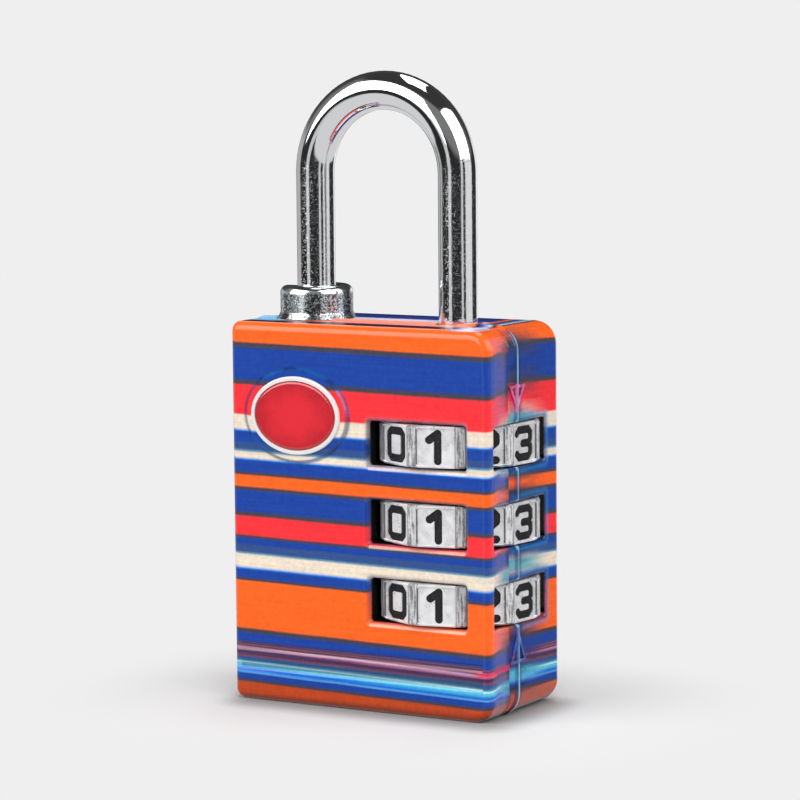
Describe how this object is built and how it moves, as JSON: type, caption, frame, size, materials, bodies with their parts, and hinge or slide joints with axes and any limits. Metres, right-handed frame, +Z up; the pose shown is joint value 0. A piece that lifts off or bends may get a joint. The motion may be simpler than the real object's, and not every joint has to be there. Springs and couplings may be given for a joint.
{
  "type": "luggage combination padlock",
  "caption": "Small padlock with number dials on a shackle leg, a resettable code, and a key override whose collar frees the shackle toe.",
  "frame": {"origin": "centre of the bottom face of the body, which the lock stands on", "axes": "+X towards the dial side, -Y is the front with the badge, +Z up towards the shackle"},
  "size_m": [0.0307, 0.0164, 0.0636],
  "materials": {
    "printed_casting": "glossy striped print under clear lacquer",
    "polished_chrome": "mirror polished plating",
    "cast_chrome": "plating over a grainy casting",
    "dial_chrome": "satin plating with cast grain",
    "digit_paint": "black paint fill",
    "steel": "bright drawn steel",
    "spring_steel": "spring temper",
    "brass": "turned",
    "badge_white": "gloss",
    "badge_red": "clear domed enamel"
  },
  "bodies": {
    "case": {"front_cover": "printed_casting", "rear_body": "printed_casting", "cover_rivets": "steel", "leg_bush": "brass", "sleeve_spring": "spring_steel", "spring_seat": "steel", "cylinder_housing": "brass", "housing_pin": "steel", "detent_leaf_1": "spring_steel", "detent_leaf_2": "spring_steel", "detent_leaf_3": "spring_steel", "badge_rim": "badge_white", "badge_enamel": "badge_red"},
    "shackle": {"shackle": "polished_chrome", "lock_pins": "steel"},
    "dial_1": {"dial_wheel_1": "dial_chrome", "dial_digits_1": "digit_paint"},
    "dial_2": {"dial_wheel_2": "dial_chrome", "dial_digits_2": "digit_paint"},
    "dial_3": {"dial_wheel_3": "dial_chrome", "dial_digits_3": "digit_paint"},
    "sleeve_1": {"clutch_sleeve_1": "steel"},
    "sleeve_2": {"clutch_sleeve_2": "steel"},
    "sleeve_3": {"clutch_sleeve_3": "steel"},
    "override": {"key_plug": "brass", "wafers": "brass", "wafer_springs": "spring_steel", "plug_clip": "spring_steel", "override_shaft": "steel", "toe_collar": "cast_chrome", "collar_clip": "spring_steel"}
  },
  "joints": [
    {"name": "shackle_lift", "type": "slide", "parent": "case", "child": "shackle", "axis": [0, 0, 1], "range_m": [0, 0.00784]},
    {"name": "dial_turn_1", "type": "hinge", "parent": "case", "child": "dial_1", "pos_m": [0.0074, 0, 0.0114], "axis": [0, 0, 1], "continuous": true, "deforming": ["detent_leaf_1"]},
    {"name": "dial_turn_2", "type": "hinge", "parent": "case", "child": "dial_2", "pos_m": [0.0074, 0, 0.01924], "axis": [0, 0, 1], "continuous": true, "deforming": ["detent_leaf_2"]},
    {"name": "dial_turn_3", "type": "hinge", "parent": "case", "child": "dial_3", "pos_m": [0.0074, 0, 0.02708], "axis": [0, 0, 1], "continuous": true, "deforming": ["detent_leaf_3"]},
    {"name": "code_reset_1", "type": "slide", "parent": "dial_1", "child": "sleeve_1", "axis": [0, 0, -1], "range_m": [0, 0.0012], "stiffness_N_per_m": 300, "springref_m": -0.004, "deforming": ["sleeve_spring"]},
    {"name": "code_reset_2", "type": "slide", "parent": "dial_2", "child": "sleeve_2", "axis": [0, 0, -1], "range_m": [0, 0.0012], "stiffness_N_per_m": 300, "springref_m": -0.004},
    {"name": "code_reset_3", "type": "slide", "parent": "dial_3", "child": "sleeve_3", "axis": [0, 0, -1], "range_m": [0, 0.0012], "stiffness_N_per_m": 300, "springref_m": -0.004},
    {"name": "key_turn", "type": "hinge", "parent": "case", "child": "override", "pos_m": [-0.0091, 0, 0.02], "axis": [0, 0, -1], "range_deg": [0, 90]}
  ],
  "couplings": [
    {"joint": "code_reset_2", "follows": "code_reset_1", "ratio": 1},
    {"joint": "code_reset_3", "follows": "code_reset_1", "ratio": 1}
  ]
}
